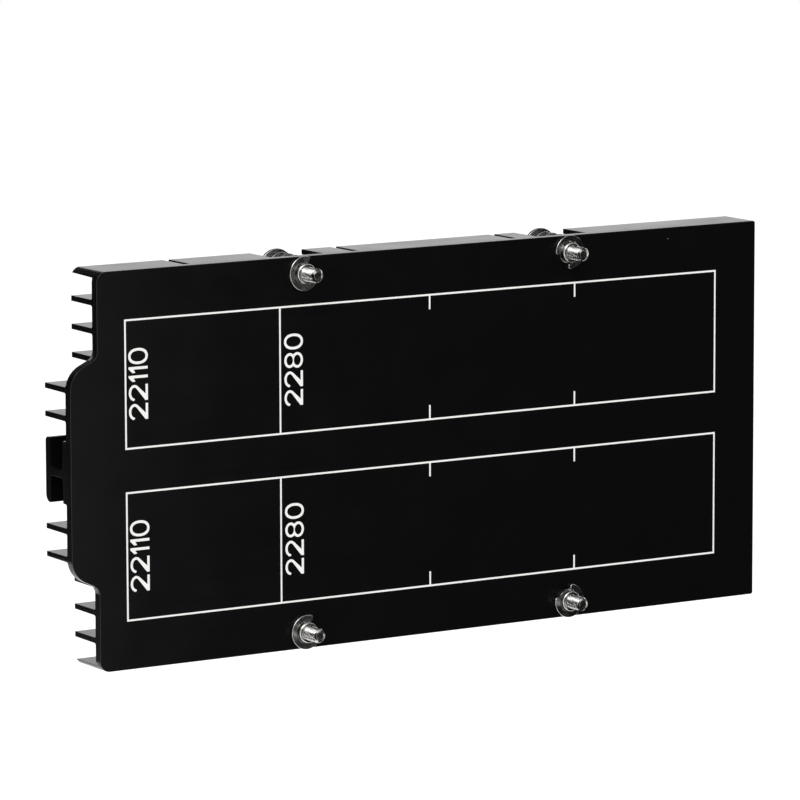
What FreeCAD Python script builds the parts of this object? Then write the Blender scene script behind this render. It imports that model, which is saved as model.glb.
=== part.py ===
import FreeCAD, Part
import math
import os

# Heat sink of an NVMe adapter card: a finned aluminium plate that is screwed
# over two rows of M.2 drives by four captive, sprung screws.
#
# Frame, in millimetres: X runs along the plate, Z up its face and Y through it,
# from the drive side (Y = 0, facing -Y) to the fins and screw heads (+Y).
# The origin is on the drive side, at the centre of the four-screw pattern.

Vec = FreeCAD.Vector

# ---- Plate and outline -------------------------------------------------------
LENGTH = 134.0          # plate, without the tab
HEIGHT = 67.8
TAB_REACH = 5.2         # how far the middle of the left end stands out
TAB_HALF_TIP = 17.0     # half height of the tab where it stands out most
TAB_HALF_ROOT = 19.5    # and where it leaves the end
TAB_TIP_R = 4.4
TAB_ROOT_R = 1.8
CORNER_R_LEFT = 1.8
CORNER_R_RIGHT = 0.4
PLATE_T = 1.8
EDGE_BREAK = 0.2        # chamfer round the drive side

# ---- Fins and middle rib -----------------------------------------------------
DEPTH = 9.0             # drive side to fin tips
FIN_T = 1.0             # at the root
FIN_TAPER = 0.04        # taken off each side at the tip
FIN_STATIONS = 15       # evenly spaced places from edge to edge
RIB_STATIONS = (6, 7, 8)        # taken by the middle rib in place of fins
ROOT_BEVEL = 0.3        # where a fin or the rib meets the plate
RIB_SPAN = (-5.4, 5.7)          # flange of the rib, from below to above
RIB_PAD_SPAN = (-5.0, 5.6)      # and its foot
RIB_PAD_T = 1.2
RIB_WEB_T = 1.4
RIB_FLANGE_T = 1.6
RIB_ROOT_R = 0.6
RIB_CORNER_R = 0.9

# ---- Cuts across the fins ----------------------------------------------------
FIN_TRIM_HALF = 16.5    # outside this half height the fins end with the plate
SAW_CUT_X = (-48.8, -15.7, 16.7)
SAW_CUT_W = 1.15
POCKET_X = (-27.2, 26.6)        # clearance for the screw heads, both edges
POCKET_W = 10.3
POCKET_REACH = 7.4              # from the plate's long edge inwards

# ---- Captive screws ----------------------------------------------------------
SCREW_X = 27.0          # half the pattern along the plate
SCREW_Z = 31.0          # half the pattern up the plate
HOLE_R = 2.0
SHOULDER_R = 1.8
SHOULDER_END = -1.35
THREAD_R = 1.25         # M2.5
TIP_END = -4.75
TIP_BREAK = 0.45
GROOVE_R = 1.05
HEAD_R = 3.3
HEAD_UNDER = 8.9
HEAD_T = 1.3
HEAD_DOME = ((0.0, 0.4), (0.35, 0.95), (0.9, 1.3))  # in from the rim, up from under
RECESS_W = 0.85
RECESS_SPAN = 3.6
RECESS_DEPTH = 1.1

# ---- Retaining clips ---------------------------------------------------------
CLIP_R = 3.0
CLIP_BAND = 1.0
CLIP_T = 0.6
CLIP_LUG_R = 1.1
CLIP_LUG_W = 1.0
CLIP_GAP_DEG = 38.0     # half the mouth
CLIP_END_R = 0.42       # corners that end the arms
CLIP_SIDE_LUG_DEG = 68.0
CLIP_TURN_DEG = (27.0, 224.0, 22.0, 124.0)      # way each mouth points

# ---- Springs -----------------------------------------------------------------
SPRING_R = 2.6          # to the middle of the wire
SPRING_WIRE_R = 0.25
SPRING_COILS = 2.5      # open ones
SPRING_CLOSED = 0.5     # part of a coil that lies flat at each end


def outline(corners):
    """Closed wire through (a, b, radius) corners in the XY plane, each corner
    rounded by its own radius."""
    points = [Vec(a, b, 0) for a, b, _ in corners]
    edges = []
    ends = []
    count = len(corners)
    for i in range(count):
        here, r = points[i], corners[i][2]
        back = (points[i - 1] - here).normalize()
        on = (points[(i + 1) % count] - here).normalize()
        if r <= 0:
            ends.append((here, here, None))
            continue
        half = back.getAngle(on) / 2
        reach = r / math.tan(half)
        start, stop = here + back * reach, here + on * reach
        middle = (back + on).normalize()
        crown = here + middle * (r / math.sin(half) - r)
        ends.append((start, stop, crown))
    for i in range(count):
        start, stop, crown = ends[i]
        if crown is not None:
            edges.append(Part.Arc(start, crown, stop).toShape())
        following = ends[(i + 1) % count][0]
        if stop.distanceToPoint(following) > 1e-6:
            edges.append(Part.LineSegment(stop, following).toShape())
    return Part.Wire(edges)


def cylinder(radius, start, stop, x=0.0, z=0.0):
    """Round bar along Y."""
    return Part.makeCylinder(radius, stop - start, Vec(x, start, z), Vec(0, 1, 0))


def screw_places():
    """(number, x, z) of the captive screws: top left, top right, then below."""
    return [
        (1, -SCREW_X, SCREW_Z),
        (2, SCREW_X, SCREW_Z),
        (3, -SCREW_X, -SCREW_Z),
        (4, SCREW_X, -SCREW_Z),
    ]


def section_corners():
    """Corners (y, z, radius) of the extruded section, from the top edge down."""
    pitch = (HEIGHT - FIN_T) / (FIN_STATIONS - 1)
    top, last = HEIGHT / 2, FIN_STATIONS - 1
    corners = [(0, top, 0)]

    def fin(station):
        upper = top - station * pitch
        lower = upper - FIN_T
        if station > 0:
            corners.append((PLATE_T, upper + ROOT_BEVEL, 0))
            corners.append((PLATE_T + ROOT_BEVEL, upper, 0))
        corners.append((DEPTH, upper - FIN_TAPER, 0))
        corners.append((DEPTH, lower + FIN_TAPER, 0))
        if station < last:
            corners.append((PLATE_T + ROOT_BEVEL, lower, 0))
            corners.append((PLATE_T, lower - ROOT_BEVEL, 0))

    for station in range(RIB_STATIONS[0]):
        fin(station)

    def rib_side(foot, edge, web):
        return [
            (PLATE_T, foot, 0),
            (PLATE_T + RIB_PAD_T, foot, 0),
            (PLATE_T + RIB_PAD_T, web, RIB_ROOT_R),
            (DEPTH - RIB_FLANGE_T, web, RIB_ROOT_R),
            (DEPTH - RIB_FLANGE_T, edge, 0),
            (DEPTH, edge, RIB_CORNER_R),
        ]

    corners.extend(rib_side(RIB_PAD_SPAN[1], RIB_SPAN[1], RIB_WEB_T / 2))
    corners.extend(reversed(rib_side(RIB_PAD_SPAN[0], RIB_SPAN[0], -RIB_WEB_T / 2)))

    for station in range(RIB_STATIONS[-1] + 1, FIN_STATIONS):
        fin(station)
    corners.append((0, -top, 0))
    return corners


def blank_corners():
    """Corners (x, z, radius) of the plate seen square on."""
    half, left, right = HEIGHT / 2, -LENGTH / 2, LENGTH / 2
    upper = [
        (right, half, CORNER_R_RIGHT),
        (left, half, CORNER_R_LEFT),
        (left, TAB_HALF_ROOT, TAB_ROOT_R),
        (left - TAB_REACH, TAB_HALF_TIP, TAB_TIP_R),
    ]
    return upper + [(x, -z, r) for x, z, r in reversed(upper)]


def upright(wire):
    """Stands a wire drawn in (x, z) up in the XZ plane."""
    wire.rotate(Vec(0, 0, 0), Vec(1, 0, 0), 90)
    return wire


def extrusion():
    """The section drawn out along X, longer than the plate at both ends."""
    wire = outline(section_corners())
    # (y, z) drawn as (x, y) is stood up across X
    wire.rotate(Vec(0, 0, 0), Vec(1, 1, 1), 120)
    start = -LENGTH / 2 - TAB_REACH - 1
    wire.translate(Vec(start, 0, 0))
    return Part.Face(wire).extrude(Vec(LENGTH + TAB_REACH + 2, 0, 0))


def blank():
    """The outline through the whole depth, with its edge break in front."""
    solid = Part.Face(upright(outline(blank_corners()))).extrude(Vec(0, DEPTH + 1, 0))
    front = [f for f in solid.Faces if f.CenterOfMass.y < 1e-6][0]
    return solid.makeChamfer(EDGE_BREAK, front.OuterWire.Edges)


def fin_cuts():
    """What is cut from the fins alone, down to the plate, above and below:
    the trim at the tab, the saw cuts and the pockets for the screw heads."""
    half = HEIGHT / 2
    cuts = [(-LENGTH / 2 - TAB_REACH - 1, -LENGTH / 2, FIN_TRIM_HALF)]
    for x in SAW_CUT_X:
        cuts.append((x - SAW_CUT_W / 2, x + SAW_CUT_W / 2, RIB_SPAN[1] + 0.5))
    for x in POCKET_X:
        cuts.append((x - POCKET_W / 2, x + POCKET_W / 2, half - POCKET_REACH))
    tools = []
    for start, stop, inner in cuts:
        reach = half + 1 - inner
        for low in (inner, -half - 1):
            corner = Vec(start, PLATE_T, low)
            tools.append(
                Part.makeBox(stop - start, DEPTH - PLATE_T + 1, reach, corner)
            )
    return tools


def heat_sink():
    """Extruded plate and fins, milled to outline, sawn, pocketed and drilled."""
    body = extrusion().common(blank())
    holes = [cylinder(HOLE_R, -1, DEPTH + 1, x, z) for _, x, z in screw_places()]
    return body.cut(fin_cuts() + holes)


def screw():
    """Shoulder screw along Y: cross-recessed pan head, shoulder with the clip's
    groove, and thread end. Centred on the Y axis."""
    dome = [Vec(HEAD_R - back, HEAD_UNDER + up, 0) for back, up in HEAD_DOME]
    foot = [Vec(0, HEAD_UNDER, 0), Vec(HEAD_R, HEAD_UNDER, 0)]
    half = Part.makePolygon(foot + dome + [Vec(0, HEAD_UNDER + HEAD_T, 0), foot[0]])
    head = Part.Face(half).revolve(Vec(0, 0, 0), Vec(0, 1, 0), 360)
    shoulder = cylinder(SHOULDER_R, SHOULDER_END, HEAD_UNDER)
    thread = cylinder(THREAD_R, TIP_END, SHOULDER_END)
    tip = [
        e
        for e in thread.Edges
        if isinstance(e.Curve, Part.Circle) and e.CenterOfMass.y < TIP_END + 0.1
    ]
    thread = thread.makeChamfer(TIP_BREAK, tip)
    solid = head.fuse([shoulder, thread])

    groove = cylinder(SHOULDER_R + 1, -CLIP_T - 0.05, 0.05).cut(
        cylinder(GROOVE_R, -CLIP_T - 1, 1)
    )
    top = HEAD_UNDER + HEAD_T
    slots = []
    for turn in (45, 135):
        slot = Part.makeBox(
            RECESS_SPAN,
            RECESS_DEPTH + 1,
            RECESS_W,
            Vec(-RECESS_SPAN / 2, top - RECESS_DEPTH, -RECESS_W / 2),
        )
        slot.rotate(Vec(0, 0, 0), Vec(0, 1, 0), turn)
        slots.append(slot)
    return solid.cut([groove] + slots).removeSplitter()


def e_clip(turn):
    """Retaining clip lying on the drive side, its mouth turned to that angle,
    counted anticlockwise from +X as seen on the drive side."""
    inner = CLIP_R - CLIP_BAND
    ring = cylinder(CLIP_R, -CLIP_T, 0).cut(cylinder(inner, -CLIP_T - 1, 1))
    far = CLIP_R * 3
    spread = math.radians(CLIP_GAP_DEG)
    mouth = Part.Face(
        Part.makePolygon(
            [
                Vec(0, -CLIP_T - 1, 0),
                Vec(far * math.cos(spread), -CLIP_T - 1, far * math.sin(spread)),
                Vec(far * math.cos(spread), -CLIP_T - 1, -far * math.sin(spread)),
                Vec(0, -CLIP_T - 1, 0),
            ]
        )
    ).extrude(Vec(0, CLIP_T + 2, 0))
    body = ring.cut(mouth)
    ends = [
        e
        for e in body.Edges
        if abs(e.Vertexes[0].Y - e.Vertexes[-1].Y) > CLIP_T / 2
        and abs(abs(math.atan2(e.CenterOfMass.z, e.CenterOfMass.x)) - spread) < 0.01
    ]
    body = body.makeFillet(CLIP_END_R, ends)
    lugs = []
    for angle in (180, CLIP_SIDE_LUG_DEG, -CLIP_SIDE_LUG_DEG):
        lug = Part.makeBox(
            inner + 0.3, CLIP_T, CLIP_LUG_W, Vec(0, -CLIP_T, -CLIP_LUG_W / 2)
        )
        lug.rotate(Vec(0, 0, 0), Vec(0, 1, 0), -angle)
        lugs.append(lug)
    body = body.fuse(lugs).cut(cylinder(CLIP_LUG_R, -CLIP_T - 1, 1)).removeSplitter()
    body.rotate(Vec(0, 0, 0), Vec(0, 1, 0), -turn)
    return body


def spring():
    """Coil along Y with closed ends, from the back of the plate to the
    underside of the head. Its wire is drawn four-sided."""
    start = PLATE_T + SPRING_WIRE_R
    stop = HEAD_UNDER - SPRING_WIRE_R
    closed = 2 * SPRING_WIRE_R + 0.02
    rise = (stop - start - 2 * closed * SPRING_CLOSED) / SPRING_COILS
    # drawn up Z in three runs, then laid along Y
    runs = []
    low = turned = 0.0
    for pitch, turns in (
        (closed, SPRING_CLOSED),
        (rise, SPRING_COILS),
        (closed, SPRING_CLOSED),
    ):
        run = Part.makeHelix(pitch, pitch * turns, SPRING_R)
        run.rotate(Vec(0, 0, 0), Vec(0, 0, 1), 360 * turned)
        run.translate(Vec(0, 0, low))
        runs.extend(run.Edges)
        low += pitch * turns
        turned += turns
    path = Part.Wire(runs)
    ring = [
        Vec(
            SPRING_R + SPRING_WIRE_R * math.cos(math.radians(90 * i)),
            0,
            SPRING_WIRE_R * math.sin(math.radians(90 * i)),
        )
        for i in range(5)
    ]
    coil = path.makePipeShell([Part.makePolygon(ring)], True, True)
    coil.rotate(Vec(0, 0, 0), Vec(1, 0, 0), -90)
    coil.translate(Vec(0, start, 0))
    return coil


os.makedirs("parts", exist_ok=True)

parts = {"heat_sink": heat_sink()}
for number, x, z in screw_places():
    place = Vec(x, 0, z)
    for name, solid in (
        ("screw", screw()),
        ("spring", spring()),
        ("e_clip", e_clip(CLIP_TURN_DEG[number - 1])),
    ):
        solid.translate(place)
        parts["%s_%d" % (name, number)] = solid

for name, shape in parts.items():
    if shape.ShapeType != "Solid" and len(shape.Solids) == 1:
        shape = shape.Solids[0]
    if not shape.isValid() or len(shape.Solids) != 1:
        print("check", name, shape.isValid(), shape.ShapeType, len(shape.Solids))
    print("%-12s %9.2f mm3 %4d faces" % (name, shape.Volume, len(shape.Faces)))
    shape.exportStep("parts/%s.step" % name)
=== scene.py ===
"""Heat sink of an NVMe adapter card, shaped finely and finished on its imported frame.

The black anodised extrusion, its white size marks and its four captive screws,
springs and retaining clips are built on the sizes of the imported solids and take
their finishes here. Outlines are in millimetres until a mesh is finished.

Row frame: +X runs along the plate, away from its tab, +Z up the plate and -Y out
of its flat drive side. The origin is at the middle of the drive side.
"""

import logging
import math
from contextlib import contextmanager
from dataclasses import dataclass
from enum import Enum
from functools import partial
from typing import Any, Callable, Iterator, Optional, Sequence

import bmesh
import bpy
from mathutils import Matrix, Vector


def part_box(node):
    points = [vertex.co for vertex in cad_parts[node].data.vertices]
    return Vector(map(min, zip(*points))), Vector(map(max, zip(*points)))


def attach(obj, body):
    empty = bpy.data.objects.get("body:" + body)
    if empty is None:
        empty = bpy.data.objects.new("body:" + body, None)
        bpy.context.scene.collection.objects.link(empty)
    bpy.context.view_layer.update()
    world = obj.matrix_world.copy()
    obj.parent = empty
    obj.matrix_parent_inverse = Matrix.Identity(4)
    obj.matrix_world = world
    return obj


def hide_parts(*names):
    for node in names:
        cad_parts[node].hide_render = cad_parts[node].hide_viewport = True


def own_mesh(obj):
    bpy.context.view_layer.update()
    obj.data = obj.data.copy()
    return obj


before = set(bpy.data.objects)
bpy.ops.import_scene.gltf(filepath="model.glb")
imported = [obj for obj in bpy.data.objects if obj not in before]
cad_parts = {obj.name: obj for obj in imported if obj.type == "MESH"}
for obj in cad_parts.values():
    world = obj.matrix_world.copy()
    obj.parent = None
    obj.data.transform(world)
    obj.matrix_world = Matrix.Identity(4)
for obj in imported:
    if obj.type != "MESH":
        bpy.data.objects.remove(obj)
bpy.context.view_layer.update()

log = logging.getLogger("heat_sink")

MM = 0.001
MERGE_MM = 0.002  # points closer than this are one
FLAT_DEGREES = 0.5  # faces that meet flatter than this are one
SMOOTH_DEGREES = 28.0  # edges sharper than this stay sharp

Point = tuple[float, float]
Corner = tuple[float, float, float]
Colour = tuple[float, float, float, float]
Loose = bpy.types.Object
Shape = bmesh.types.BMesh
Tree = bpy.types.NodeTree
Node = bpy.types.Node
Socket = bpy.types.NodeSocket


# ---- Small tools ----


def linear(hex_colour: str) -> Colour:
    """Turns an sRGB hex colour to the linear colour that shaders take.

    Args:
        hex_colour: such as "#1B1B1D".

    Returns:
        Linear red, green, blue and an alpha of 1.
    """
    parts = [int(hex_colour[i : i + 2], 16) / 255 for i in (1, 3, 5)]
    red, green, blue = (
        c / 12.92 if c <= 0.04045 else ((c + 0.055) / 1.055) ** 2.4 for c in parts
    )
    return red, green, blue, 1.0


def add_node(
    tree: Tree,
    kind: str,
    inputs: Optional[dict[Any, Any]] = None,
    **settings: Any,
) -> Node:
    """Adds one node with its settings, values and links.

    Args:
        tree: the node tree that takes it.
        kind: its type, such as "ShaderNodeTexNoise".
        inputs: a socket's name or index to its value, or to the socket that feeds it.
        settings: the node's own properties.

    Returns:
        The new node.
    """
    made = tree.nodes.new(kind)
    for name, value in settings.items():
        setattr(made, name, value)
    for key, value in (inputs or {}).items():
        if isinstance(value, Socket):
            tree.links.new(value, made.inputs[key])
        else:
            made.inputs[key].default_value = value
    return made


def link_object(name: str, data: Any) -> Loose:
    """Makes an object of some data and puts it in the scene."""
    made = bpy.data.objects.new(name, data)
    bpy.context.scene.collection.objects.link(made)
    return made


def settle(piece: Loose) -> Loose:
    """Turns a piece's evaluated shape into its plain mesh and drops its modifiers.

    Args:
        piece: a mesh or curve object.

    Returns:
        The mesh object: the same one, or a new one of that name for a curve.
    """
    graph = bpy.context.evaluated_depsgraph_get()
    graph.update()
    mesh = bpy.data.meshes.new_from_object(piece.evaluated_get(graph), depsgraph=graph)
    if piece.type == "MESH":
        piece.modifiers.clear()
        piece.data = mesh
        return piece
    name = piece.name
    bpy.data.objects.remove(piece)
    return link_object(name, mesh)


def rounded(corners: Sequence[Corner], step: float = 10.0) -> list[Point]:
    """Lays out a polygon whose corners are rounded, each by its own radius.

    Args:
        corners: (a, b, radius) of each corner, in order.
        step: degrees of arc between two points.

    Returns:
        The polygon's points.
    """
    points: list[Point] = []
    count = len(corners)
    for i, (a, b, radius) in enumerate(corners):
        here = Vector((a, b))
        if radius <= 0:
            points.append((a, b))
            continue
        back = (Vector(corners[i - 1][:2]) - here).normalized()
        on = (Vector(corners[(i + 1) % count][:2]) - here).normalized()
        half = back.angle(on) / 2
        centre = here + (back + on).normalized() * (radius / math.sin(half))
        start = here + back * (radius / math.tan(half)) - centre
        turn = start.angle_signed(here + on * (radius / math.tan(half)) - centre)
        pieces = max(2, math.ceil(abs(math.degrees(turn)) / step))
        for k in range(pieces + 1):
            spoke = start.copy()
            spoke.rotate(Matrix.Rotation(-turn * k / pieces, 2))
            points.append(tuple(centre + spoke))
    return points


def ring_points(
    radius: float, start: float, stop: float, step: float = 5.0
) -> list[Point]:
    """Gives the points of an arc about the origin, angles in degrees."""
    pieces = max(1, math.ceil(abs(stop - start) / step))
    angles = [
        math.radians(start + (stop - start) * k / pieces) for k in range(pieces + 1)
    ]
    return [(radius * math.cos(a), radius * math.sin(a)) for a in angles]


def mirrored(upper: list[Corner], step: float) -> list[Point]:
    """Rounds an outline of which the lower half mirrors the upper."""
    return rounded(upper + [(a, -b, r) for a, b, r in reversed(upper)], step)


def turn_about(axis: str, degrees: float) -> Matrix:
    """Gives a turn about one of the three axes."""
    return Matrix.Rotation(math.radians(degrees), 4, axis)


def mesh_object(name: str, shape: Shape) -> Loose:
    """Makes an object of a shape, with its faces turned outwards."""
    bmesh.ops.recalc_face_normals(shape, faces=shape.faces)
    mesh = bpy.data.meshes.new(name)
    shape.to_mesh(mesh)
    shape.free()
    return link_object(name, mesh)


def prism(
    name: str,
    outline: Sequence[Point],
    low: float,
    high: float,
    place: Callable[[float, float, float], Corner],
) -> Loose:
    """Extrudes a flat outline.

    Args:
        name: the object's name.
        outline: its points (a, b).
        low: where along the third direction it starts.
        high: where it ends.
        place: turns (a, b, c) into (x, y, z).

    Returns:
        A closed mesh.
    """
    shape = bmesh.new()
    rings = [
        [shape.verts.new(place(a, b, c)) for a, b in outline] for c in (low, high)
    ]
    shape.faces.new(rings[0])
    shape.faces.new(rings[1])
    count = len(outline)
    for i in range(count):
        j = (i + 1) % count
        shape.faces.new((rings[0][i], rings[0][j], rings[1][j], rings[1][i]))
    return mesh_object(name, shape)


def facing(a: float, b: float, c: float) -> Corner:
    """Places an outline drawn as (x, z) and extruded along Y."""
    return a, c, b


def section(a: float, b: float, c: float) -> Corner:
    """Places an outline drawn as (y, z) and extruded along X."""
    return c, a, b


def rectangle(left: float, low: float, right: float, high: float) -> list[Point]:
    """Gives a rectangle's corners, anticlockwise from the lower left."""
    return [(left, low), (right, low), (right, high), (left, high)]


def block(name: str, low: Sequence[float], high: Sequence[float]) -> Loose:
    """Makes a plain cutting tool between two corners."""
    outline = rectangle(low[0], low[2], high[0], high[2])
    return prism(name, outline, low[1], high[1], facing)


def lathe(name: str, profile: Sequence[Point], sides: int = 64) -> Loose:
    """Turns a profile about the Y axis.

    Args:
        name: the object's name.
        profile: (y, radius) points, the first and last on the axis.
        sides: points round each ring.

    Returns:
        A closed mesh.
    """
    shape = bmesh.new()
    rings = []
    angles = [math.tau * k / sides for k in range(sides)]
    for y, radius in profile:
        if radius <= 0:
            rings.append([shape.verts.new((0, y, 0))])
            continue
        spokes = [(radius * math.cos(t), radius * math.sin(t)) for t in angles]
        rings.append([shape.verts.new((x, y, z)) for x, z in spokes])
    for one, two in zip(rings, rings[1:]):
        for k in range(sides):
            n = (k + 1) % sides
            if len(one) == 1:
                shape.faces.new((one[0], two[n], two[k]))
            elif len(two) == 1:
                shape.faces.new((one[k], one[n], two[0]))
            else:
                shape.faces.new((one[k], one[n], two[n], two[k]))
    return mesh_object(name, shape)


class Carving(Enum):
    """How one shape works on another."""

    JOIN = "UNION"
    CUT = "DIFFERENCE"
    KEEP = "INTERSECT"


def modified(body: Loose, kind: str, **settings: Any) -> Loose:
    """Works one modifier into a body's mesh."""
    step = body.modifiers.new(kind.lower(), kind)
    for name, value in settings.items():
        setattr(step, name, value)
    return settle(body)


def carve(body: Loose, tool: Loose, how: Carving) -> None:
    """Joins, cuts or keeps a body with a tool, which is used up."""
    modified(body, "BOOLEAN", operation=how.value, solver="EXACT", object=tool)
    bpy.data.objects.remove(tool)


@contextmanager
def edited(piece: Loose) -> Iterator[Shape]:
    """Opens a piece's mesh for editing and then writes it back."""
    shape = bmesh.new()
    shape.from_mesh(piece.data)
    yield shape
    shape.to_mesh(piece.data)
    shape.free()


def tidy(body: Loose) -> None:
    """Merges doubled points and the flat faces that carving has split."""
    with edited(body) as shape:
        bmesh.ops.remove_doubles(shape, verts=shape.verts, dist=MERGE_MM)
        bmesh.ops.dissolve_limit(
            shape,
            angle_limit=math.radians(FLAT_DEGREES),
            use_dissolve_boundaries=False,
            verts=shape.verts,
            edges=shape.edges,
        )


def ease_edges(body: Loose, width: float, segments: int, angle: float) -> Loose:
    """Rounds the edges sharper than an angle, given in degrees."""
    return modified(
        body,
        "BEVEL",
        width=width,
        segments=segments,
        limit_method="ANGLE",
        angle_limit=math.radians(angle),
        use_clamp_overlap=False,
        miter_outer="MITER_ARC",
    )


def finished(
    piece: Loose, finish: "Finish", place: Sequence[float] = (0, 0, 0)
) -> Loose:
    """Scales a piece from millimetres to metres and gives it its finish.

    Args:
        piece: the mesh object, in millimetres.
        finish: what it is made of.
        place: millimetres to move it by.

    Returns:
        The same object, at the origin, with its place in its mesh.
    """
    piece.data.transform(Matrix.Scale(MM, 4) @ Matrix.Translation(place))
    piece.data.materials.clear()
    piece.data.materials.append(finish.material())
    piece.data.polygons.foreach_set("use_smooth", [True] * len(piece.data.polygons))
    piece.data.set_sharp_from_angle(angle=math.radians(SMOOTH_DEGREES))
    modified(piece, "WEIGHTED_NORMAL", keep_sharp=True)
    return piece


def hand_over(piece: Loose, body: str, *nodes: str) -> None:
    """Lets a piece ride on its body in place of its solids, and reports it."""
    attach(piece, body)
    if nodes:
        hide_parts(*nodes)
    log.info("%s on %s, %d faces", piece.name, body, len(piece.data.polygons))


# ---- Geometry Nodes ----


def geometry_tree(name: str, sizes: dict[str, float]) -> Tree:
    """Starts a geometry tree with named inputs for its sizes.

    Args:
        name: the tree's name.
        sizes: each input's name to its starting value; a whole number is a count.

    Returns:
        The tree, with inputs and an output for geometry and for the sizes.
    """
    tree = bpy.data.node_groups.new(name, "GeometryNodeTree")
    tree.is_modifier = True
    new = tree.interface.new_socket
    new(name="Geometry", in_out="INPUT", socket_type="NodeSocketGeometry")
    for label, value in sizes.items():
        kind = "NodeSocketInt" if isinstance(value, int) else "NodeSocketFloat"
        new(name=label, in_out="INPUT", socket_type=kind).default_value = value
    new(name="Geometry", in_out="OUTPUT", socket_type="NodeSocketGeometry")
    return tree


def close_tree(tree: Tree, geometry: Socket, finish: "Finish") -> None:
    """Ends a geometry tree in Realize Instances and Set Material."""
    real = add_node(tree, "GeometryNodeRealizeInstances", {0: geometry})
    inputs = {"Geometry": real.outputs[0], "Material": finish.material()}
    dressed = add_node(tree, "GeometryNodeSetMaterial", inputs)
    add_node(tree, "NodeGroupOutput", {0: dressed.outputs[0]})


def grown(
    name: str,
    tree: Tree,
    values: dict[str, float],
    start: Optional[Loose] = None,
) -> Loose:
    """Runs a geometry tree and keeps its result as a plain mesh.

    Args:
        name: the new object's name.
        tree: the geometry tree.
        values: the values of its inputs, by name.
        start: an object whose mesh the tree works on; it is used up.

    Returns:
        The mesh object.
    """
    holder = start or link_object(name, bpy.data.meshes.new(name))
    holder.name = name
    step = holder.modifiers.new("grow", "NODES")
    step.node_group = tree
    for item in tree.interface.items_tree:
        if item.item_type == "SOCKET" and item.in_out == "INPUT":
            if item.name in values:
                step[item.identifier] = values[item.name]
    return settle(holder)


class Maths:
    """Writes arithmetic on sockets as Math nodes in one tree."""

    def __init__(self, tree: Tree) -> None:
        """Keeps the tree that takes the nodes."""
        self.tree = tree

    def __call__(self, operation: str, *terms: Any) -> Socket:
        """Adds one Math node and gives its result.

        Args:
            operation: such as "MULTIPLY".
            terms: numbers or sockets, in order.

        Returns:
            The result's socket.
        """
        inputs = dict(enumerate(terms))
        return add_node(
            self.tree, "ShaderNodeMath", inputs, operation=operation
        ).outputs[0]

    def verbs(self, *operations: str) -> list[Callable[..., Socket]]:
        """Gives a short function for each of some operations."""
        return [partial(self, operation) for operation in operations]

    def polar(self, angle: Socket, radius: Socket, height: Socket) -> Socket:
        """Gives the point at an angle and a radius about Z, at a height."""
        across, up = (
            self("MULTIPLY", self(wave, angle), radius) for wave in ("COSINE", "SINE")
        )
        inputs = {0: across, 1: up, 2: height}
        return add_node(self.tree, "ShaderNodeCombineXYZ", inputs).outputs[0]


# ---- Finishes ----


def surface(
    name: str, colour: str, roughness: float
) -> tuple[bpy.types.Material, Node]:
    """Starts a material and gives it with its shader."""
    made = bpy.data.materials.new(name)
    made.use_nodes = True
    shader = made.node_tree.nodes["Principled BSDF"]
    shader.inputs["Base Color"].default_value = linear(colour)
    shader.inputs["Roughness"].default_value = roughness
    return made, shader


@dataclass(frozen=True)
class Finish:
    """A surface finish: its colour and gloss, and what grain it carries."""

    name: str
    slot: str
    colour: str
    roughness: float
    metallic: float = 0.0

    def material(self) -> bpy.types.Material:
        """Gives the finish's material, made the first time it is asked for."""
        found = bpy.data.materials.get(self.name)
        if found is not None:
            return found
        made, shader = surface(self.name, self.colour, self.roughness)
        shader.inputs["Metallic"].default_value = self.metallic
        self.detail(made.node_tree, shader)
        return made

    def detail(self, tree: Tree, shader: Node) -> None:
        """Adds the finish's own grain. A plain finish has none."""

    @staticmethod
    def pattern(tree: Tree, grain: Sequence[float]) -> Socket:
        """Gives object coordinates, scaled so that 1 is one grain of a pattern.

        Args:
            tree: the material's tree.
            grain: the grain's size along X, Y and Z, in millimetres.

        Returns:
            The coordinates' socket.
        """
        place = add_node(tree, "ShaderNodeTexCoord").outputs["Object"]
        inputs = {"Vector": place, "Scale": [1 / (s * MM) for s in grain]}
        return add_node(tree, "ShaderNodeMapping", inputs).outputs[0]

    def noise(self, tree: Tree, grain: Sequence[float], detail: float) -> Socket:
        """Gives the level of a noise with a grain in millimetres."""
        inputs = {"Vector": self.pattern(tree, grain), "Scale": 1.0, "Detail": detail}
        return add_node(tree, "ShaderNodeTexNoise", inputs).outputs["Fac"]

    @staticmethod
    def between(tree: Tree, level: Socket, low: float, high: float) -> Socket:
        """Maps a pattern from its middle range to two values."""
        inputs = {"Value": level, 1: 0.3, 2: 0.7, 3: low, 4: high}
        return add_node(tree, "ShaderNodeMapRange", inputs).outputs[0]

    @staticmethod
    def mixed(tree: Tree, share: float, first: Socket, second: Socket) -> Socket:
        """Mixes two levels by the share of the second."""
        inputs = {0: share, 2: first, 3: second}
        return add_node(tree, "ShaderNodeMix", inputs, data_type="FLOAT").outputs[0]

    @staticmethod
    def tinted(tree: Tree, share: Socket, first: Any, second: str) -> Socket:
        """Mixes a colour or a colour's socket with a second colour, by its share."""
        if isinstance(first, str):
            first = linear(first)
        inputs = {0: share, 6: first, 7: linear(second)}
        return add_node(tree, "ShaderNodeMix", inputs, data_type="RGBA").outputs[2]

    @staticmethod
    def emboss(
        tree: Tree, shader: Node, height: Socket, strength: float, depth: float
    ) -> None:
        """Raises a pattern on the surface by a depth in millimetres."""
        inputs = {"Strength": strength, "Distance": depth * MM, "Height": height}
        bump = add_node(tree, "ShaderNodeBump", inputs)
        tree.links.new(bump.outputs[0], shader.inputs["Normal"])


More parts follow.
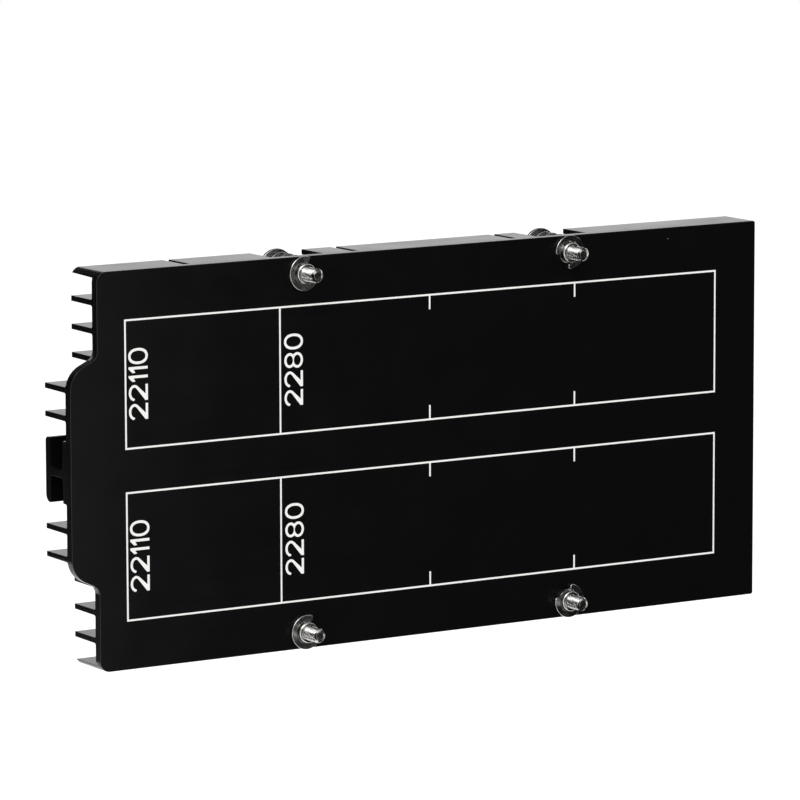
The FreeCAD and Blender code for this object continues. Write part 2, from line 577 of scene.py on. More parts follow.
@dataclass(frozen=True)
class BlackAnodise(Finish):
    """Extruded aluminium, etched and coloured black by a dye under a clear oxide film.

    To the eye it is nearly black square on, with a soft sheen that turns pale grey
    when seen along the surface. It carries the die's faint lines along the profile,
    an etched grain, a few specks of dust and a painted highlight on the drive side's
    rounded edge.
    """

    film_ior: float = 1.3
    gloss_spread: float = 0.05
    patch_mm: float = 9
    # a lighter colour painted as a highlight on the drive side's rounded edge, over
    # this band of depths in millimetres
    painted_highlight_colour: str = "#232325"
    painted_highlight_band_mm: tuple[float, float] = (0.01, 0.12)
    grain_mm: float = 0.25
    grain_depth: float = 0.004
    die_line_mm: tuple[float, float, float] = (60, 0.35, 0.35)
    dust_colour: str = "#8C8C8A"
    dust_cell_mm: float = 7
    dust_reach: float = 0.022
    dust_share: float = 0.6
    line_share: tuple[float, float] = (0.4, 0.3)  # in the gloss and in the height
    relief: float = 0.25

    def detail(self, tree: Tree, shader: Node) -> None:
        """Adds the etched grain, the die lines, the dust and the painted highlight on
        the rounded edge.
        """
        shader.inputs["IOR"].default_value = self.film_ior
        patches = self.noise(tree, (self.patch_mm,) * 3, 4.0)
        lines = self.noise(tree, self.die_line_mm, 2.0)
        worn = self.mixed(tree, self.line_share[0], patches, lines)
        low, high = (self.roughness + way * self.gloss_spread for way in (-1, 1))
        rough = self.between(tree, worn, low, high)
        tree.links.new(rough, shader.inputs["Roughness"])
        tree.links.new(self.dust_and_highlight(tree), shader.inputs["Base Color"])
        grain = self.noise(tree, (self.grain_mm,) * 3, 3.0)
        height = self.mixed(tree, self.line_share[1], grain, lines)
        self.emboss(tree, shader, height, self.relief, self.grain_depth)

    def dust_and_highlight(self, tree: Tree) -> Socket:
        """Gives the dye's colour with dust and a painted highlight on the drive side's
        rounded edge.
        """
        power, times, below, above = Maths(tree).verbs(
            "POWER", "MULTIPLY", "LESS_THAN", "GREATER_THAN"
        )
        place = self.pattern(tree, (1, 1, 1))
        depth = add_node(tree, "ShaderNodeSeparateXYZ", {0: place}).outputs[1]
        # the band of the drive side's rounded edge is painted lighter, as a highlight
        highlight_mask = times(above(depth, self.painted_highlight_band_mm[0]), below(depth, self.painted_highlight_band_mm[1]))
        dye_and_highlight = self.tinted(tree, highlight_mask, self.colour, self.painted_highlight_colour)
        # one speck of up to 0.3 mm across in each cell, most too small to see
        cells = {"Vector": self.pattern(tree, (self.dust_cell_mm,) * 3), "Scale": 1.0}
        dust = add_node(tree, "ShaderNodeTexVoronoi", cells, feature="F1").outputs
        luck = add_node(tree, "ShaderNodeSeparateColor", {0: dust["Color"]}).outputs[0]
        reach = times(power(luck, 3.0), self.dust_reach)
        share = times(below(dust["Distance"], reach), self.dust_share)
        return self.tinted(tree, share, dye_and_highlight, self.dust_colour)


@dataclass(frozen=True)
class PadInk(Finish):
    """White two-part ink, printed on the anodised face with a soft pad.

    To the eye it is a flat matt white with a slightly mottled film.
    """

    mottle_mm: float = 0.4
    thin_colour: str = "#E9E9E6"

    def detail(self, tree: Tree, shader: Node) -> None:
        """Adds the mottle of a thin ink film."""
        mottle = self.noise(tree, (self.mottle_mm,) * 3, 3.0)
        share = self.between(tree, mottle, 0.0, 1.0)
        tint = self.tinted(tree, share, self.colour, self.thin_colour)
        tree.links.new(tint, shader.inputs["Base Color"])


@dataclass(frozen=True)
class BrightMetal(Finish):
    """Steel, bare or nickel plated, with fine marks from how it was made.

    To the eye it mirrors what is round it, softened by fine marks, and it is a
    little duller in patches from handling.
    """

    metallic: float = 1.0
    patch_mm: float = 1.6
    mark_mm: tuple[float, float, float] = (0.2, 0.2, 0.2)
    mark_depth: float = 0.003
    relief: float = 0.4
    gloss_range: tuple[float, float] = (-0.05, 0.07)

    def detail(self, tree: Tree, shader: Node) -> None:
        """Adds the marks and the duller patches."""
        patches = self.noise(tree, (self.patch_mm,) * 3, 3.0)
        low, high = (self.roughness + change for change in self.gloss_range)
        rough = self.between(tree, patches, low, high)
        tree.links.new(rough, shader.inputs["Roughness"])
        marks = self.noise(tree, self.mark_mm, 2.0)
        self.emboss(tree, shader, marks, self.relief, self.mark_depth)


ANODISE = BlackAnodise("black_anodised_aluminium", "black_anodised", "#0A0A0B", 0.2)
INK = PadInk("white_pad_printed_ink", "black_anodised", "#F7F7F4", 0.55)
# turned steel under bright nickel: warm white, with rings from the tool
NICKEL = BrightMetal(
    "nickel_plated_turned_steel",
    "nickel_plated",
    "#CCCBC8",
    0.17,
    mark_mm=(0.8, 0.06, 0.8),
)
# spring wire: drawn through a die, so its marks run every way once it is coiled
WIRE = BrightMetal("drawn_spring_steel_wire", "spring_steel", "#A8A8A9", 0.22)
# stamped strip, tumbled until its edges are soft
STRIP = BrightMetal(
    "tumbled_stamped_steel",
    "clip_steel",
    "#A8A8A6",
    0.2,
    mark_mm=(0.3, 0.3, 0.3),
    mark_depth=0.009,
)


# ---- The extrusion ----


@dataclass
class HeatSink:
    """The black extrusion: plate, tab, fins and middle rib, cut and drilled."""

    plate: float = 1.8
    tab: float = 5.2
    tab_half_tip: float = 17.0
    tab_half_root: float = 19.5
    tab_tip_r: float = 4.4
    tab_root_r: float = 1.8
    corner_left: float = 1.8
    corner_right: float = 0.4
    edge_r: float = 0.12

    fin: float = 1.0
    fin_taper: float = 0.04
    fin_root_r: float = 0.35
    stations: int = 15
    row: int = 6
    sunk: float = 0.4
    rib_span: tuple[float, float] = (-5.4, 5.7)
    rib_foot: tuple[float, float] = (-5.0, 5.6)
    rib_foot_rise: float = 1.2
    rib_web: float = 1.4
    rib_flange: float = 1.6
    rib_root_r: float = 0.6
    rib_corner_r: tuple[float, float] = (1.35, 0.8)
    rib_edge_r: float = 0.2
    rib_flare: float = 0.37
    rib_flare_r: float = 0.35

    trim_half: float = 16.5
    saw_x: tuple[float, ...] = (-48.8, -15.7, 16.7)
    saw: float = 1.15
    pocket_x: tuple[float, ...] = (-27.2, 26.6)
    pocket: float = 10.3
    pocket_reach: float = 7.4
    hole_r: float = 2.0
    hole_x: float = 27.0
    hole_z: float = 31.0
    burr: float = 0.07
    overrun: float = 0.5

    def __post_init__(self) -> None:
        """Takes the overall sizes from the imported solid."""
        low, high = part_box("heat_sink")
        self.left, self.right = low.x / MM + self.tab, high.x / MM
        self.half = high.z / MM
        self.depth = high.y / MM
        self.pitch = (2 * self.half - self.fin) / (self.stations - 1)

    def outline(self) -> list[Point]:
        """Gives the plate's outline seen square on, as (x, z)."""
        upper = [
            (self.right, self.half, self.corner_right),
            (self.left, self.half, self.corner_left),
            (self.left, self.tab_half_root, self.tab_root_r),
            (self.left - self.tab, self.tab_half_tip, self.tab_tip_r),
        ]
        return mirrored(upper, 6.0)

    def fin_section(self) -> list[Point]:
        """Gives one fin's section, flared where it grows out of the plate."""
        top, side = self.depth, self.fin / 2
        tip = side - self.fin_taper
        foot = side + self.fin_root_r + 0.02
        upper = [
            (self.plate - self.sunk, foot, 0.0),
            (self.plate, foot, 0.0),
            (self.plate, side, self.fin_root_r),
            (top, tip, 0.0),
        ]
        return mirrored(upper, 15.0)

    def rib_section(self) -> list[Point]:
        """Gives the middle rib's section: a foot, a web and a broad flange."""

        def side(foot: float, edge: float, web: float, r: float) -> list[Corner]:
            rise, flange = self.plate + self.rib_foot_rise, self.depth - self.rib_flange
            flare = foot + math.copysign(self.rib_flare, foot)
            return [
                (self.plate - self.sunk, flare, 0.0),
                (self.plate, flare, 0.0),
                (self.plate, foot, self.rib_flare_r),
                (rise, foot, self.rib_edge_r),
                (rise, web, self.rib_root_r),
                (flange, web, self.rib_root_r),
                (flange, edge, self.rib_edge_r),
                (self.depth, edge, r),
            ]

        (below, above), web = self.rib_corner_r, self.rib_web / 2
        upper = side(self.rib_foot[1], self.rib_span[1], web, above)
        lower = side(self.rib_foot[0], self.rib_span[0], -web, below)
        return rounded(upper + lower[::-1], 10.0)

    def fin_row_tree(self) -> Tree:
        """Builds the tree that repeats a fin up the plate at an even pitch."""
        sizes = {"Count": self.row, "First": 0.0, "Pitch": self.pitch}
        tree = geometry_tree("fin_row", sizes)
        given = add_node(tree, "NodeGroupInput").outputs
        start, step = (
            add_node(tree, "ShaderNodeCombineXYZ", {2: given[name]}).outputs[0]
            for name in ("First", "Pitch")
        )
        inputs = {"Count": given["Count"], "Start Location": start, "Offset": step}
        line = add_node(tree, "GeometryNodeMeshLine", inputs)
        inputs = {"Points": line.outputs[0], "Instance": given["Geometry"]}
        fins = add_node(tree, "GeometryNodeInstanceOnPoints", inputs)
        close_tree(tree, fins.outputs[0], ANODISE)
        return tree

    def cuts(self) -> list[tuple[float, float, float]]:
        """Lists what is cut from the fins: start, stop and inner half height."""
        cuts = [(self.left - self.tab - 1, self.left, self.trim_half)]
        for x in self.saw_x:
            cuts.append((x - self.saw / 2, x + self.saw / 2, self.rib_span[1] + 0.5))
        for x in self.pocket_x:
            inner = self.half - self.pocket_reach
            cuts.append((x - self.pocket / 2, x + self.pocket / 2, inner))
        return cuts

    def build(self) -> Loose:
        """Extrudes, joins, cuts and drills the heat sink.

        Returns:
            The finished piece.
        """
        start, stop = self.left - self.tab - self.overrun, self.right + self.overrun
        plate = rectangle(0.0, -self.half, self.plate, self.half)
        body = prism("heat_sink_body", plate, start, stop, section)
        tree = self.fin_row_tree()
        first = self.half - self.fin / 2
        for number, lowest in enumerate((-first, first - (self.row - 1) * self.pitch)):
            fin = prism("fin", self.fin_section(), start, stop, section)
            sizes = {"Count": self.row, "First": lowest, "Pitch": self.pitch}
            carve(body, grown("fins_%d" % number, tree, sizes, fin), Carving.JOIN)
        rib = prism("rib", self.rib_section(), start, stop, section)
        carve(body, rib, Carving.JOIN)
        carve(body, self.blank(), Carving.KEEP)
        for x_start, x_stop, inner in self.cuts():
            for low, high in ((inner, self.half + 1), (-self.half - 1, -inner)):
                tool = block(
                    "cut", (x_start, self.plate, low), (x_stop, self.depth + 1, high)
                )
                carve(body, tool, Carving.CUT)
        for x in (-self.hole_x, self.hole_x):
            for z in (-self.hole_z, self.hole_z):
                ring = [(x + a, z + b) for a, b in ring_points(self.hole_r, 0, 355)]
                carve(body, prism("drill", ring, -1, 5, facing), Carving.CUT)
        tidy(body)
        ease_edges(body, self.burr, 2, 40)
        return finished(body, ANODISE)

    def blank(self) -> Loose:
        """Makes the outline as a tool, with the rounded edge of the drive side."""
        tool = prism("blank", self.outline(), 0, self.depth + 1, facing)
        with edited(tool) as shape:
            front = [e for e in shape.edges if all(v.co.y < 1e-6 for v in e.verts)]
            bmesh.ops.bevel(
                shape,
                geom=front,
                offset=self.edge_r,
                segments=4,
                profile=0.5,
                affect="EDGES",
                clamp_overlap=True,
            )
            bmesh.ops.recalc_face_normals(shape, faces=shape.faces)
        return tool


# ---- The printed marks ----


@dataclass
class Digits:
    """Digits of a plain geometric face, as outlines in millimetres.

    Each is drawn from its lower left corner, u along the line and v up.
    """

    height: float = 3.66
    width: float = 2.72
    narrow: float = 1.06
    stroke: float = 0.44
    gap: float = 0.5
    kern: float = 0.08

    def oval(self, centre: Point, radii: Point, power: float = 2.0) -> list[Point]:
        """Gives a closed oval; a power over 2 makes its shoulders squarer."""

        def swing(wave: float) -> float:
            return math.copysign(abs(wave) ** (2 / power), wave)

        (u, v), (across, up) = centre, radii
        turns = [math.tau * k / 40 for k in range(40)]
        return [
            (u + across * swing(math.cos(t)), v + up * swing(math.sin(t)))
            for t in turns
        ]

    def zero(self) -> list[list[Point]]:
        """Draws 0: an oval ring."""
        middle = (self.width / 2, self.height / 2)
        outer = (self.width / 2, self.height / 2 + 0.04)
        inner = (outer[0] - self.stroke, outer[1] - self.stroke)
        return [self.oval(middle, outer, 2.25), self.oval(middle, inner, 2.15)]

    def one(self) -> list[list[Point]]:
        """Draws 1: a stem with a short flag."""
        stem, top = self.narrow - self.stroke - 0.02, self.height
        flag = [(stem + 0.12, top), (0.0, top - 0.74), (0.06, top - 1.3)]
        foot = [(stem, 0.0), (self.narrow, 0.0), (self.narrow, top)]
        return [foot + flag + [(stem, top - 0.92)]]

    def two(self) -> list[list[Point]]:
        """Draws 2: a bowl, a straight diagonal and a base."""
        s = self.stroke
        u, v = self.width / 2 - 0.02, self.height - 1.08
        across, up = self.width / 2 - s / 2, 1.08 - s / 2

        def along(grow: float, start: float, stop: float) -> list[Point]:
            angles = [math.radians(start + (stop - start) * k / 16) for k in range(17)]
            return [
                (u + (across + grow) * math.cos(t), v + (up + grow) * math.sin(t))
                for t in angles
            ]

        outer = along(s / 2, 172.0, -36.0)
        inner = along(-s / 2, -40.0, 160.0)
        base = [(1.06, s), (self.width, s), (self.width, 0.0), (0.0, 0.0), (0.0, 0.5)]
        cap = [(0.36, self.height - 1.14), (0.12, self.height - 1.12)]
        return [outer + base + inner + cap]

    def eight(self) -> list[list[Point]]:
        """Draws 8: two ovals, the upper one smaller."""
        middle = self.width / 2
        upper = ((middle, self.height - 1.07), (1.28, 1.07))
        lower = ((middle, 1.1), (middle - 0.02, 1.12))

        def half_width(v: float) -> float:
            widths = []
            for (_, level), (across, up) in (upper, lower):
                share = 1 - ((v - level) / up) ** 2
                widths.append(across * math.sqrt(max(share, 0.0)))
            return max(widths)

        low, high = lower[0][1] - lower[1][1], self.height
        levels = [
            low + (high - low) * (1 - math.cos(math.pi * k / 36)) / 2
            for k in range(37)
        ]
        right = [(middle + half_width(v), v) for v in levels]
        left = [(middle - half_width(v), v) for v in levels[-2:0:-1]]
        holes = [
            self.oval(centre, (radii[0] - self.stroke, radii[1] - self.stroke))
            for centre, radii in (upper, lower)
        ]
        return [right + left] + holes

    def line(self, text: str) -> list[list[Point]]:
        """Sets a line of digits and gives their outlines."""
        drawn = {"0": self.zero, "1": self.one, "2": self.two, "8": self.eight}
        outlines, at = [], 0.0
        for digit in text:
            for outline in drawn[digit]():
                outlines.append([(u + at, v) for u, v in outline])
            at += (self.narrow if digit == "1" else self.width) + self.gap
            if digit == "1":
                at -= self.kern
        return outlines


@dataclass
class SizeMarks:
    """White outlines of the drives' places, with their size marks."""

    line: float = 0.31
    start_x: float = -61.72
    spacing: float = 30.0
    inner_z: float = 3.755
    outer_z: float = 25.48
    tick: float = 2.5
    film: float = 0.012
    cap_gap: tuple[float, float] = (0.6, 0.82)
    indent: tuple[float, float] = (4.79, 4.67)

    def frame_outlines(self) -> list[list[Point]]:
        """Gives one drive's outline as (x, z) polygons: rim, short and long cell."""
        half = self.line / 2
        x0, x1 = self.start_x, self.start_x + self.spacing
        end = self.start_x + 4 * self.spacing
        low, high = self.inner_z, self.outer_z
        rim = rectangle(x0 - half, low - half, end + half, high + half)
        short = rectangle(x0 + half, low + half, x1 - half, high - half)
        # the long cell has two ticks on each long side
        lower: list[Point] = [(x1 + half, low + half)]
        upper: list[Point] = [(x1 + half, high - half)]
        for n in (2, 3):
            x = self.start_x + n * self.spacing
            for side, level, inward in (
                (lower, low + half, 1),
                (upper, high - half, -1),
            ):
                reach = level + inward * (self.tick - half)
                side += [(x - half, level), (x - half, reach)]
                side += [(x + half, reach), (x + half, level)]
        lower.append((end - half, low + half))
        upper.append((end - half, high - half))
        return [rim, short, lower + upper[::-1]]

    def build(self, below: bool) -> Loose:
        """Prints one drive's outline and marks.

        Args:
            below: whether it is the lower of the two.

        Returns:
            The finished piece.
        """
        lift = -(self.inner_z + self.outer_z) if below else 0.0
        outlines = [
            [(x, z + lift) for x, z in points] for points in self.frame_outlines()
        ]
        digits = Digits()
        for number, text in enumerate(("22110", "2280")):
            drawn = digits.line(text)
            base = self.start_x + number * self.spacing
            base += self.cap_gap[number] + digits.height
            foot = self.inner_z + self.indent[number] + lift
            outlines += [[(base - v, foot + u) for u, v in glyph] for glyph in drawn]
        curve = bpy.data.curves.new("marks", "CURVE")
        curve.dimensions = "2D"
        curve.fill_mode = "BOTH"
        curve.extrude = self.film
        for points in outlines:
            spline = curve.splines.new("POLY")
            spline.points.add(len(points) - 1)
            for point, (x, z) in zip(spline.points, points):
                point.co = (x, z, 0.0, 1.0)
            spline.use_cyclic_u = True
        name = "size_marks_lower" if below else "size_marks_upper"
        piece = settle(link_object(name, curve))
        piece.data.transform(turn_about("X", 90))
        with edited(piece) as shape:
            bmesh.ops.remove_doubles(shape, verts=shape.verts, dist=0.001)
            bmesh.ops.recalc_face_normals(shape, faces=shape.faces)
        return finished(piece, INK)


# ---- The captive screws ----


@dataclass
class CaptiveScrew:
    """A shoulder screw that a clip holds in the plate."""

    head_r: float = 3.3
    head_under: float = 8.9
    head_rim: float = 0.5
    dome: tuple[Corner, ...] = ((0.3, 0.4, 0.4), (0.85, 0.0, 0.5))
    shoulder_r: float = 1.8
    shoulder_end: float = -1.35
    groove_r: float = 1.05
    groove: tuple[float, float] = (-0.65, 0.05)
    thread_r: float = 1.25
    thread_root_r: float = 0.99
    thread_pitch: float = 0.45
    thread_flats: tuple[float, float] = (0.12, 0.88)
    overlap: float = 0.25
    point: float = 0.6
    point_slope: float = 2.0
    recess_width: float = 0.85
    recess_span: float = 3.6
    recess_depth: float = 1.1
    recess_taper: float = 0.42

    def __post_init__(self) -> None:
        """Takes the screw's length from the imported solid."""
        low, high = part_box("screw_1")
        self.tip, self.top = low.y / MM, high.y / MM

    def profile(self) -> list[Point]:
        """Gives the turned profile of head and shoulder, as (y, radius)."""
        corners = [
            (self.shoulder_end, 0.0, 0.0),
            (self.shoulder_end, self.shoulder_r, 0.3),
            (self.groove[0], self.shoulder_r, 0.12),
            (self.groove[0], self.groove_r, 0.0),
            (self.groove[1], self.groove_r, 0.0),
            (self.groove[1], self.shoulder_r, 0.04),
            (self.head_under, self.shoulder_r, 0.15),
            (self.head_under, self.head_r, 0.12),
            (self.head_under + self.head_rim, self.head_r, 0.2),
        ]
        corners += [
            (self.top - down, self.head_r - back, r) for back, down, r in self.dome
        ]
        corners.append((self.top, 0.0, 0.0))
        return rounded(corners, 15.0)

    def thread_sizes(self) -> dict[str, float]:
        """Gives the inputs of the thread's tree."""
        return {
            "Length": self.shoulder_end + self.overlap - self.tip,
            "Crest Radius": self.thread_r,
            "Root Radius": self.thread_root_r,
            "Pitch": self.thread_pitch,
            "Point": self.point,
            "Slope": self.point_slope,
        }

    def thread_tree(self) -> Tree:
        """Builds the tree that winds a V thread on a bar along +Z."""
        tree = geometry_tree("screw_thread", self.thread_sizes())
        given = add_node(tree, "NodeGroupInput").outputs
        length, crest, root, pitch, point, slope = list(given)[1:7]
        maths = Maths(tree)
        add, less, times, over = maths.verbs("ADD", "SUBTRACT", "MULTIPLY", "DIVIDE")
        bar = add_node(
            tree,
            "GeometryNodeMeshCylinder",
            {
                "Vertices": 48,
                "Side Segments": 96,
                "Fill Segments": 1,
                "Radius": 1.0,
                "Depth": length,
            },
            fill_type="NGON",
        )
        here = add_node(tree, "GeometryNodeInputPosition").outputs[0]
        where = add_node(tree, "ShaderNodeSeparateXYZ", {0: here}).outputs
        height = add(where[2], times(length, 0.5))
        angle = maths("ARCTAN2", where[1], where[0])
        turns = less(over(height, pitch), over(angle, math.tau))
        # a V with a narrow flat on its crest and in its root
        vee = maths("ABSOLUTE", less(times(maths("FRACT", turns), 2.0), 1.0))
        inputs = {0: vee, 1: self.thread_flats[0], 2: self.thread_flats[1]}
        flat = add_node(tree, "ShaderNodeMapRange", inputs).outputs[0]
        ridge = add(root, times(flat, less(crest, root)))
        cone = add(less(crest, point), times(less(length, height), slope))
        moved = maths.polar(angle, maths("MINIMUM", ridge, cone), height)
        inputs = {"Geometry": bar.outputs["Mesh"], "Position": moved}
        shaped = add_node(tree, "GeometryNodeSetPosition", inputs)
        close_tree(tree, shaped.outputs[0], NICKEL)
        return tree

    def recess(self) -> Loose:
        """Makes the cross recess as a tapered tool."""
        arm, reach = self.recess_width / 2, self.recess_span / 2
        plus = []
        for c, s in ((1, 0), (0, 1), (-1, 0), (0, -1)):
            # the arms go round clockwise, so each quarter starts at its inner corner
            for a, b in ((arm, arm), (reach, arm), (reach, -arm)):
                plus.append((a * c + b * s, -a * s + b * c))
        low = self.top - self.recess_depth
        tool = prism("recess", plus, low, self.top + 0.3, facing)
        for vertex in tool.data.vertices:
            if vertex.co.y < low + 1e-4:
                vertex.co.x *= self.recess_taper
                vertex.co.z *= self.recess_taper
        tool.data.transform(turn_about("Y", 45))
        return tool

    def build(self) -> Loose:
        """Turns, threads and stamps one screw on the Y axis."""
        body = lathe("screw", self.profile())
        thread = grown("thread", self.thread_tree(), self.thread_sizes())
        thread.data.transform(
            Matrix.Translation((0, self.shoulder_end + self.overlap, 0))
            @ turn_about("X", 90)
        )
        carve(body, thread, Carving.JOIN)
        carve(body, self.recess(), Carving.CUT)
        return body


@dataclass
class CoilSpring:
    """The round-wire spring between the plate and a screw's head."""

    coil_r: float = 2.6
    wire_r: float = 0.25
    closed: float = 0.5
    open: float = 2.5
    closed_gap: float = 2.08
    points: int = 170
    wire_sides: int = 14

    def __post_init__(self) -> None:
        """Takes the spring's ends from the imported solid."""
        low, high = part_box("spring_1")
        self.low, self.high = low.y / MM, high.y / MM

    def sizes(self) -> dict[str, float]:
        """Gives the inputs of the spring's tree."""
        return {
            "Height": self.high - self.low,
            "Coil Radius": self.coil_r,
            "Wire Radius": self.wire_r,
            "Closed Turns": self.closed,
            "Open Turns": self.open,
        }

    def tree(self) -> Tree:
        """Builds the tree that winds a wire up Z, with closed end coils."""
        tree = geometry_tree("coil_spring", self.sizes())
        given = add_node(tree, "NodeGroupInput").outputs
        tall, coil_r, wire_r, closed, opened = list(given)[1:6]
        maths = Maths(tree)
        add, less, times, over, least, most = maths.verbs(
            "ADD", "SUBTRACT", "MULTIPLY", "DIVIDE", "MINIMUM", "MAXIMUM"
        )
        line = add_node(tree, "GeometryNodeCurvePrimitiveLine").outputs[0]
        inputs = {"Curve": line, "Count": self.points}
        wire = add_node(tree, "GeometryNodeResampleCurve", inputs)
        along = add_node(tree, "GeometryNodeSplineParameter").outputs["Factor"]
        flat_pitch = times(wire_r, self.closed_gap)
        flat_turns = times(closed, 2.0)
        turned = times(along, add(flat_turns, opened))
        past = less(turned, closed)
        flat = add(least(turned, closed), most(less(past, opened), 0.0))
        risen = least(most(past, 0.0), opened)
        room = less(less(tall, times(wire_r, 2.0)), times(flat_turns, flat_pitch))
        height = add(times(flat, flat_pitch), times(over(room, opened), risen))
        angle = times(turned, math.tau)
        place = maths.polar(angle, coil_r, add(height, wire_r))
        inputs = {"Geometry": wire.outputs[0], "Position": place}
        wound = add_node(tree, "GeometryNodeSetPosition", inputs)
        inputs = {"Resolution": self.wire_sides, "Radius": wire_r}
        kind = "GeometryNodeCurvePrimitiveCircle"
        ring = add_node(tree, kind, inputs, mode="RADIUS")
        inputs = {
            "Curve": wound.outputs[0],
            "Profile Curve": ring.outputs[0],
            "Fill Caps": True,
        }
        tube = add_node(tree, "GeometryNodeCurveToMesh", inputs)
        close_tree(tree, tube.outputs[0], WIRE)
        return tree

    def build(self) -> Loose:
        """Winds one spring along the Y axis."""
        coil = grown("spring", self.tree(), self.sizes())
        coil.data.transform(
            Matrix.Translation((0, self.low, 0)) @ turn_about("X", -90)
        )
        return coil


@dataclass
class RetainingClip:
    """The stamped clip that snaps in a shoulder's groove."""

    radius: float = 3.0
    inner: float = 2.0
    lug_r: float = 1.1
    lug_half: float = 0.5
    mouth: float = 38.0
    side_lug: float = 72.0
    thick: float = 0.6
    edge: float = 0.14

    def outline(self) -> list[Point]:
        """Gives the clip's outline, its mouth towards the first direction."""
        arm = (self.radius - self.inner) / 2
        middle = self.radius - arm
        lean = math.degrees(math.asin(arm / middle))
        first, last = self.mouth + lean, 360 - self.mouth - lean

        def arm_end(at: float, start: float) -> list[Point]:
            a = math.radians(at)
            round_end = ring_points(arm, start, start + 180, 15.0)[1:-1]
            return [
                (middle * math.cos(a) + x, middle * math.sin(a) + z)
                for x, z in round_end
            ]

        points = ring_points(self.radius, first, last) + arm_end(last, last)
        at = last
        wide = math.degrees(math.asin(self.lug_half / self.inner))
        tight = math.degrees(math.asin(self.lug_half / self.lug_r))
        for lug in (360 - self.side_lug, 180.0, self.side_lug):
            points += ring_points(self.inner, at, lug + wide, 8.0)
            points += ring_points(self.lug_r, lug + tight, lug - tight, 12.0)
            at = lug - wide
        points += ring_points(self.inner, at, first, 8.0)
        return points + arm_end(first, first + 180)

    def build(self, name: str, turn: float) -> Loose:
        """Stamps a clip with its mouth turned to an angle.

        Args:
            name: the object's name.
            turn: degrees anticlockwise from +X, seen on the drive side.

        Returns:
            The clip on the Y axis, lying on the drive side.
        """
        clip = prism(name, self.outline(), -self.thick, 0, facing)
        ease_edges(clip, self.edge, 3, 60)
        clip.data.transform(turn_about("Y", -turn))
        return clip


@dataclass
class Fastener:
    """One captive screw with its spring and clip, in its place on the plate."""

    number: int
    x: float
    z: float
    clip_turn: float
    travel: float = 3.5
    head_turn: float = 67.0

    def build(
        self, screw: Loose, coil: Loose, clip: RetainingClip, spring: CoilSpring
    ) -> None:
        """Sets out copies of the shared pieces and hands them over.

        Args:
            screw: the screw on the Y axis, in millimetres.
            coil: the spring on the Y axis, in millimetres.
            clip: makes the clip.
            spring: the spring's sizes; not used.
        """
        n, place = self.number, (self.x, 0.0, self.z)
        turned = link_object("shoulder_screw_%d" % n, screw.data.copy())
        turned.data.transform(turn_about("Y", self.head_turn * n))
        hand_over(finished(turned, NICKEL, place), "screw_%d" % n, "screw_%d" % n)

        wound = link_object("coil_spring_%d" % n, coil.data.copy())
        finished(wound, WIRE, place)
        hand_over(wound, "heat_sink", "spring_%d" % n)
        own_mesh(wound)

        snapped = clip.build("retaining_clip_%d" % n, self.clip_turn)
        hand_over(finished(snapped, STRIP, place), "clip_%d" % n, "e_clip_%d" % n)


# ---- Studio ----


def sheet(name: str, corners: Sequence[Corner], made: bpy.types.Material) -> Loose:
    """Lays out one flat face of a material."""
    shape = bmesh.new()
    shape.faces.new([shape.verts.new(corner) for corner in corners])
    laid = mesh_object(name, shape)
    laid.data.materials.append(made)
    return laid


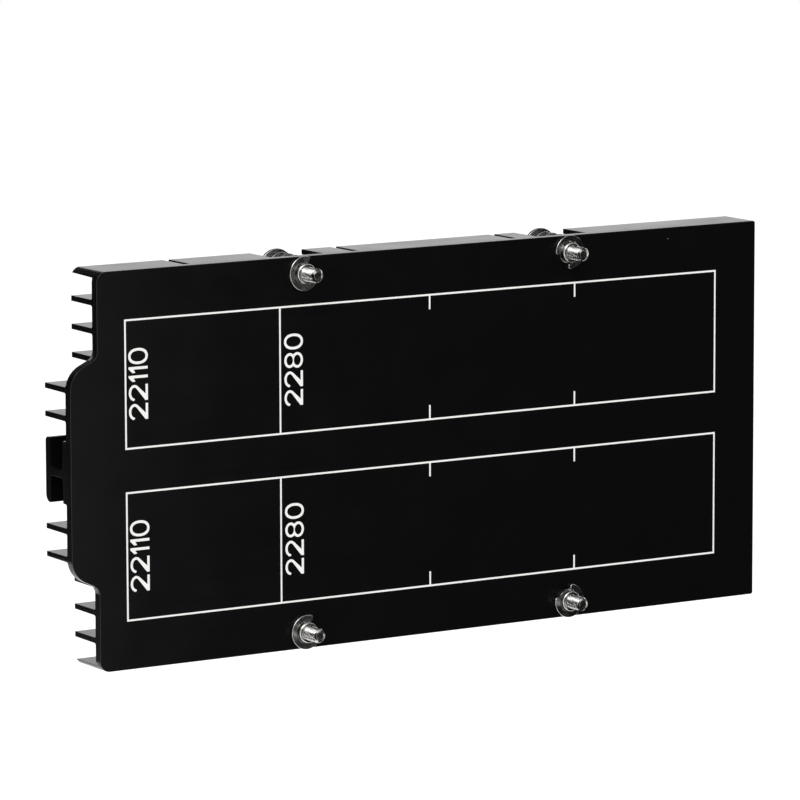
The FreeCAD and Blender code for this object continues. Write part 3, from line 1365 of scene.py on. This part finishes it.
@dataclass
class Studio:
    """A pale floor, soft light and the camera."""

    camera_at: tuple[float, float, float] = (-0.49997, -0.79461, 0.14922)
    turn: float = 31.774
    tilt: float = 8.614
    roll: float = 0.163
    lens: float = 246.8
    ambient: float = 0.7
    floor_z: float = -0.26
    floor_glow: float = 0.42
    floor_reach: float = 3.0
    card_lift: float = 0.004

    def camera(self) -> None:
        """Places the camera and makes it the scene's own."""
        data = bpy.data.cameras.new("camera")
        data.lens = self.lens
        data.sensor_width = 36.0
        data.clip_start, data.clip_end = 0.01, 50.0
        eye = link_object("camera", data)
        eye.matrix_world = (
            Matrix.Translation(self.camera_at)
            @ turn_about("Z", -self.turn)
            @ turn_about("X", 90 - self.tilt)
            @ turn_about("Z", -self.roll)
        )
        bpy.context.scene.camera = eye

    @staticmethod
    def where_seen(tree: Tree, lit: float, shown: float, target: Socket) -> None:
        """Feeds an input one value for light and one for what shows the backdrop.

        Args:
            tree: the tree that takes the nodes.
            lit: the value for rays that light the part.
            shown: the value for rays from the eye, or through gloss or glass.
            target: the input to feed.
        """
        path = add_node(tree, "ShaderNodeLightPath").outputs
        maths = Maths(tree)
        seen = maths(
            "MAXIMUM",
            maths("MAXIMUM", path["Is Camera Ray"], path["Is Glossy Ray"]),
            path["Is Transmission Ray"],
        )
        level = add_node(tree, "ShaderNodeMapRange", {0: seen, 3: lit, 4: shown})
        tree.links.new(level.outputs[0], target)

    def backdrop(self) -> None:
        """Surrounds the part with white that lights it at a plain level."""
        world = bpy.data.worlds.new("white_surround")
        world.use_nodes = True
        shade = world.node_tree.nodes["Background"].inputs
        shade["Color"].default_value = linear("#FFFFFF")
        self.where_seen(world.node_tree, self.ambient, 1.0, shade["Strength"])
        bpy.context.scene.world = world

    def floor(self) -> None:
        """Lays the floor below the part, which its screws would hold."""
        made, shader = surface("matt_white_floor", "#EDEDED", 0.9)
        shade = shader.inputs
        shade["Specular IOR Level"].default_value = 0.0
        shade["Emission Color"].default_value = linear("#FFFFFF")
        glow = shade["Emission Strength"]
        self.where_seen(made.node_tree, 0.0, self.floor_glow, glow)
        reach = self.floor_reach
        flat = rectangle(-reach, -reach, reach, reach)
        plane = sheet("floor", [(x, y, self.floor_z) for x, y in flat], made)

    def card(
        self,
        black: bpy.types.Material,
        name: str,
        start: Point,
        stop: Point,
        top: float,
        forward: float = 0.0,
        hung: bool = False,
    ) -> None:
        """Sets out a black card that only shows in gloss, for the darks of metal.

        Args:
            black: the card's material.
            name: the card's name.
            start: one end of its foot, in metres.
            stop: the other end.
            top: the height of its upper edge.
            forward: how far that edge leans to +Y.
            hung: whether it hangs level at that height, off the floor.
        """
        low = top if hung else self.floor_z + self.card_lift
        edge = [(x, y + forward, top) for x, y in (stop, start)]
        corners = [(*start, low), (*stop, low), *edge]
        card = sheet(name, corners, black)
        card.visible_camera = False
        card.visible_diffuse = False
        card.visible_shadow = False

    def lamp(
        self, name: str, at: Sequence[float], size: float, power: float
    ) -> None:
        """Hangs one soft box that points at the part.

        Args:
            name: the lamp's name.
            at: its place, in metres.
            size: the side of the box, in metres.
            power: its power, in watts.
        """
        data = bpy.data.lights.new(name, "AREA")
        data.size = size
        data.energy = power
        lamp = link_object(name, data)
        lamp.location = at
        lamp.rotation_mode = "QUATERNION"
        lamp.rotation_quaternion = (-Vector(at)).to_track_quat("-Z", "Y")

    def build(self) -> None:
        """Sets the whole studio up."""
        bpy.context.scene.view_settings.view_transform = "Standard"
        self.backdrop()
        self.floor()
        black, shader = surface("matt_black_card", "#1A1A1A", 1.0)
        shader.inputs["Specular IOR Level"].default_value = 0.0
        low = self.floor_z + self.card_lift + 0.001
        for values in (
            ("front_right_card", (0.18, -0.5), (1.1, -0.35), 0.27),
            ("front_left_card", (-0.5, -0.5), (0.08, -0.5), 0.2),
            ("back_left_card", (-1.3, 0.55), (-0.2, 0.95), 0.48),
            ("right_card", (0.3, -0.3), (0.3, -0.05), 0.25),
            ("ceiling_card", (-1.6, 0.0), (1.6, 0.0), 0.9, 2.05, True),
            ("high_right_card", (0.2, -1.1), (1.3, -1.1), 0.9, 0.8, True),
            ("low_front_card", (-0.3, -0.16), (0.9, -0.16), low, -0.34),
            ("low_right_card", (0.05, -0.02), (0.9, -0.02), low, -0.14),
        ):
            self.card(black, *values)
        self.lamp("key_soft_box", (-1.4, -1.6, 2.2), 1.6, 38.0)
        self.lamp("fill_soft_box", (2.2, -1.0, 1.2), 1.8, 16.0)
        self.camera()
        log.info("studio ready")


# ---- Putting it together ----


def main() -> None:
    """Builds every piece in order."""
    hand_over(HeatSink().build(), "heat_sink", "heat_sink")
    marks = SizeMarks()
    for below in (False, True):
        hand_over(marks.build(below), "heat_sink")

    screw, spring, clip = CaptiveScrew(), CoilSpring(), RetainingClip()
    turned, wound = screw.build(), spring.build()
    across, up = 27.0, 31.0
    fasteners = (
        Fastener(1, -across, up, 27.0),
        Fastener(2, across, up, 224.0),
        Fastener(3, -across, -up, 22.0),
        Fastener(4, across, -up, 124.0),
    )
    for fastener in fasteners:
        fastener.build(turned, wound, clip, spring)
    for shared in (turned, wound):
        bpy.data.objects.remove(shared)

    Studio().build()


if __name__ == "__main__":
    logging.basicConfig(level=logging.INFO, format="%(name)s: %(message)s")
    main()
